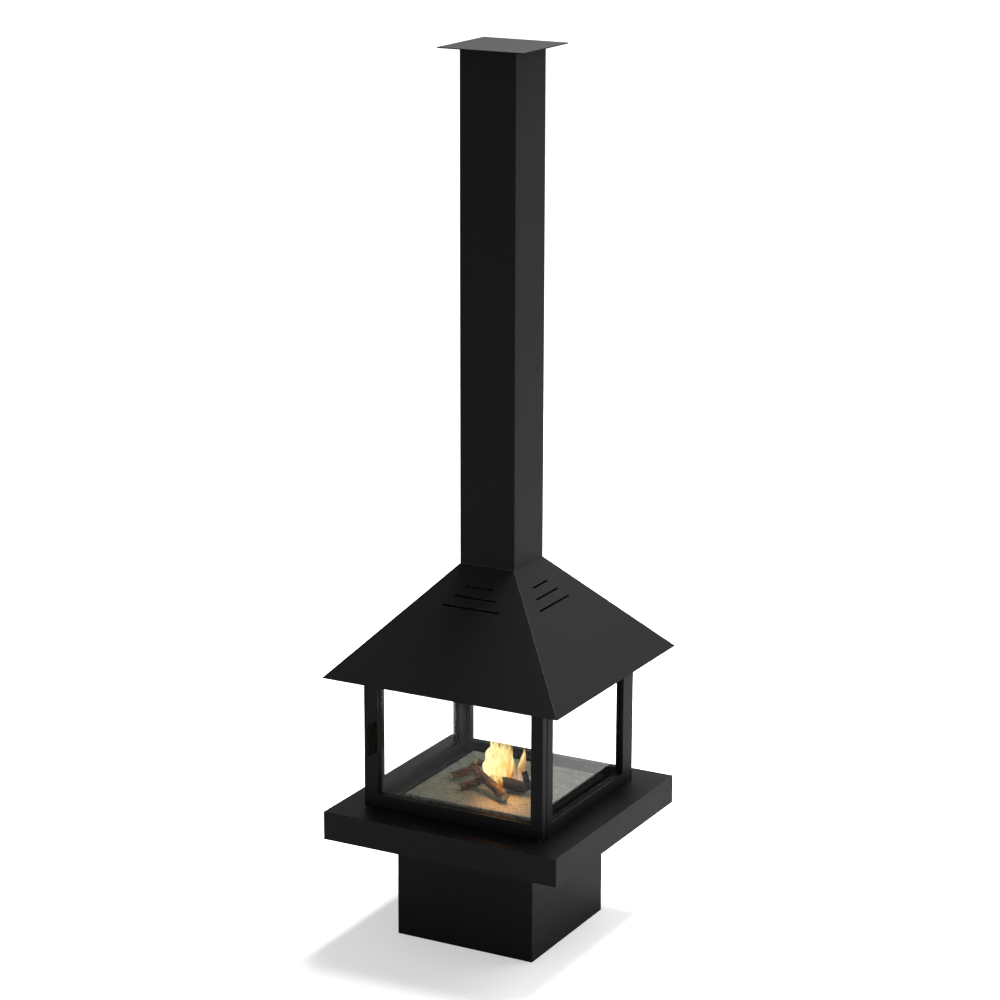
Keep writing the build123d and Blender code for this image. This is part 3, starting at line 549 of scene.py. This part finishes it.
# Flames: each tongue is a closed, waved teardrop, in millimetres, over the burner's mouth
flameSet = [
    {"base": (-46.0, -14.0), "height": 92.0, "width": 10.0, "lean": (4.0, 0.0), "seed": 1},
    {"base": (-36.0, 0.0), "height": 138.0, "width": 12.0, "lean": (6.0, 2.0), "seed": 2},
    {"base": (-25.0, -18.0), "height": 118.0, "width": 13.0, "lean": (-2.0, 0.0), "seed": 3},
    {"base": (-16.0, 4.0), "height": 168.0, "width": 14.0, "lean": (4.0, 3.0), "seed": 4},
    {"base": (-6.0, -16.0), "height": 134.0, "width": 14.0, "lean": (6.0, 0.0), "seed": 5},
    {"base": (4.0, 2.0), "height": 186.0, "width": 15.0, "lean": (2.0, -4.0), "seed": 6},
    {"base": (14.0, -18.0), "height": 122.0, "width": 14.0, "lean": (-4.0, 4.0), "seed": 7},
    {"base": (22.0, 4.0), "height": 152.0, "width": 14.0, "lean": (4.0, 0.0), "seed": 8},
    {"base": (33.0, -14.0), "height": 112.0, "width": 12.0, "lean": (-5.0, 2.0), "seed": 9},
    {"base": (43.0, 0.0), "height": 84.0, "width": 11.0, "lean": (-3.0, 0.0), "seed": 10},
    {"base": (60.0, 10.0), "height": 112.0, "width": 13.0, "lean": (14.0, 8.0), "seed": 11},
    {"base": (12.0, -75.0), "height": 84.0, "width": 8.0, "lean": (-4.0, 12.0), "seed": 12},
    {"base": (27.0, -77.0), "height": 92.0, "width": 9.0, "lean": (-6.0, 12.0), "seed": 13},
    {"base": (41.0, -76.0), "height": 72.0, "width": 7.0, "lean": (-8.0, 12.0), "seed": 14},
]

flameLook = {
    "floor": 0.470,
    "reach": 0.22,
    "sides": 20,
    "rings": 22,
    "belly": 0.62,
    "fullness": 0.8,
    "flute": 0.18,
    "flatness": 0.7,
    "wave": 0.010,
    "streakScale": 95.0,
    "foldScale": 46.0,
    "core": (1.0, 0.90, 0.46),
    "middle": (1.0, 0.62, 0.16),
    "edge": (1.0, 0.30, 0.03),
    "strength": 1.25,
}


def flameFinish(look):
    made = newFinish("flameGlow")
    across, _, up = made.axes(made.position())
    streaks = made.noise(made.position(scale=(1.0, 1.0, 7.0)), look["streakScale"], 4.0, 0.6)
    height = made.span(up, look["floor"], look["floor"] + look["reach"])
    folds = made.noise(made.position(scale=(1.0, 1.0, 3.0)), look["foldScale"], 2.0, 0.5)
    heat = folds * 1.3 + streaks * 0.9 - 0.20 - abs(height - 0.34) * 0.60 - across * 4.0
    stops = [(0.42, look["edge"]), (0.66, look["middle"]), (0.90, look["core"]), (1.0, look["core"])]
    colour = made.node("ShaderNodeValToRGB", {"stops": stops}, {"Fac": heat})
    fade = 1.0 - made.span(height + (streaks - 0.5) * 0.5, 0.40, 0.95)
    alpha = fade * made.span(heat, 0.42, 0.90, 0.16, 0.66)
    return made.surface(colour=(0.0, 0.0, 0.0), rough=1.0, shine=0.0, glow=colour,
                        glowStrength=look["strength"], alpha=alpha)


def buildFlame(index, values, look, material):
    mesh = bmesh.new()
    bmesh.ops.create_uvsphere(mesh, u_segments=look["sides"], v_segments=look["rings"], radius=1.0)
    height = values["height"] / 1000.0
    width = values["width"] / 1000.0
    baseX, baseY = (part / 1000.0 for part in values["base"])
    leanX, leanY = (part / 1000.0 for part in values["lean"])
    for vert in mesh.verts:
        share = (vert.co.z + 1.0) / 2.0
        belly = 0.0
        if 0.0 < share < 1.0:
            belly = math.sin(math.pi * min(1.0, share ** look["belly"])) ** look["fullness"]
        ring = Vector((vert.co.x, vert.co.y, 0.0))
        ray = ring.normalized() if ring.length else ring
        sway = look["wave"] * share
        waveX, waveY = (noise.noise(Vector((values["seed"] * 5.1, share * 3.2, layer))) * sway * 2.0
                        for layer in (0.0, 9.0))
        ripple = noise.noise(Vector((ray.x * 2.0, ray.y * 2.0, share * 3.0 + values["seed"])))
        size = width * belly * (1.0 + look["flute"] * ripple)
        vert.co = Vector((baseX + leanX * share + waveX + ray.x * size,
                          baseY + leanY * share + waveY + ray.y * size * look["flatness"],
                          look["floor"] + share * height))
    for face in mesh.faces:
        face.smooth = True
    bmesh.ops.recalc_face_normals(mesh, faces=mesh.faces)
    addPiece(f"flame_{index}", mesh, [material], "root")


flameMaterial = flameFinish(flameLook)
for flameIndex, flameValues in enumerate(flameSet):
    buildFlame(flameIndex, flameValues, flameLook, flameMaterial)
print("flames made")


def buildFloor(values):
    mesh = bmesh.new()
    bmesh.ops.create_grid(mesh, x_segments=1, y_segments=1, size=values["floorHalf"])
    shape = bpy.data.meshes.new("studioFloor")
    mesh.to_mesh(shape)
    mesh.free()
    floor = bpy.data.objects.new("studioFloor", shape)
    bpy.context.scene.collection.objects.link(floor)
    made = newFinish("studioFloor")
    matt = made.node("ShaderNodeBsdfDiffuse", {}, {"Color": values["floorColour"]})
    away = made.span(made.fromAxis(made.position()), values["farFrom"], values["farTo"])
    strength = made.seen() * (values["floorLift"] + away * values["farLift"])
    lift = made.node("ShaderNodeEmission", {}, {"Strength": strength})
    shape.materials.append(made.close(made.node("ShaderNodeAddShader", {}, {0: matt, 1: lift})))


def buildSky(values):
    sky = bpy.data.worlds.new("studioSky")
    bpy.context.scene.world = sky
    made = Finish(sky, "ShaderNodeOutputWorld")
    strength = made.seen() * (1.0 - values["skyStrength"]) + values["skyStrength"]
    made.close(made.node("ShaderNodeBackground", {}, {"Color": values["skyColour"], "Strength": strength}))


fireLights = {
    "floorGlow": {"kind": "SPOT", "place": (0.050, -0.050, 0.640), "aim": (0.095, -0.165, 0.460),
                  "colour": (1.0, 0.40, 0.12), "power": 3.7, "size": 0.04, "cone": 62.0},
    "logGlow": {"kind": "POINT", "place": (0.005, -0.030, 0.585), "aim": (0.0, 0.0, 0.46),
                "colour": (1.0, 0.52, 0.20), "power": 0.55, "size": 0.03},
}


def addLamp(name, values):
    data = bpy.data.lights.new(name, values["kind"])
    data.energy = values["power"]
    data.color = values["colour"]
    if values["kind"] == "AREA":
        data.size = values["size"]
    else:
        data.shadow_soft_size = values["size"]
    if values["kind"] == "SPOT":
        data.spot_size = math.radians(values["cone"])
        data.spot_blend = 1.0
    holder = bpy.data.objects.new(name, data)
    bpy.context.scene.collection.objects.link(holder)
    aim = (Vector(values["aim"]) - Vector(values["place"])).to_track_quat("-Z", "Y")
    holder.matrix_world = Matrix.Translation(values["place"]) @ aim.to_matrix().to_4x4()


setCamera(camera)
buildFloor(studio)
buildSky(studio)
for lampName, lampValues in {**lamps, **fireLights}.items():
    addLamp(lampName, lampValues)
bpy.context.scene.view_settings.view_transform = "Standard"

print("scene made")
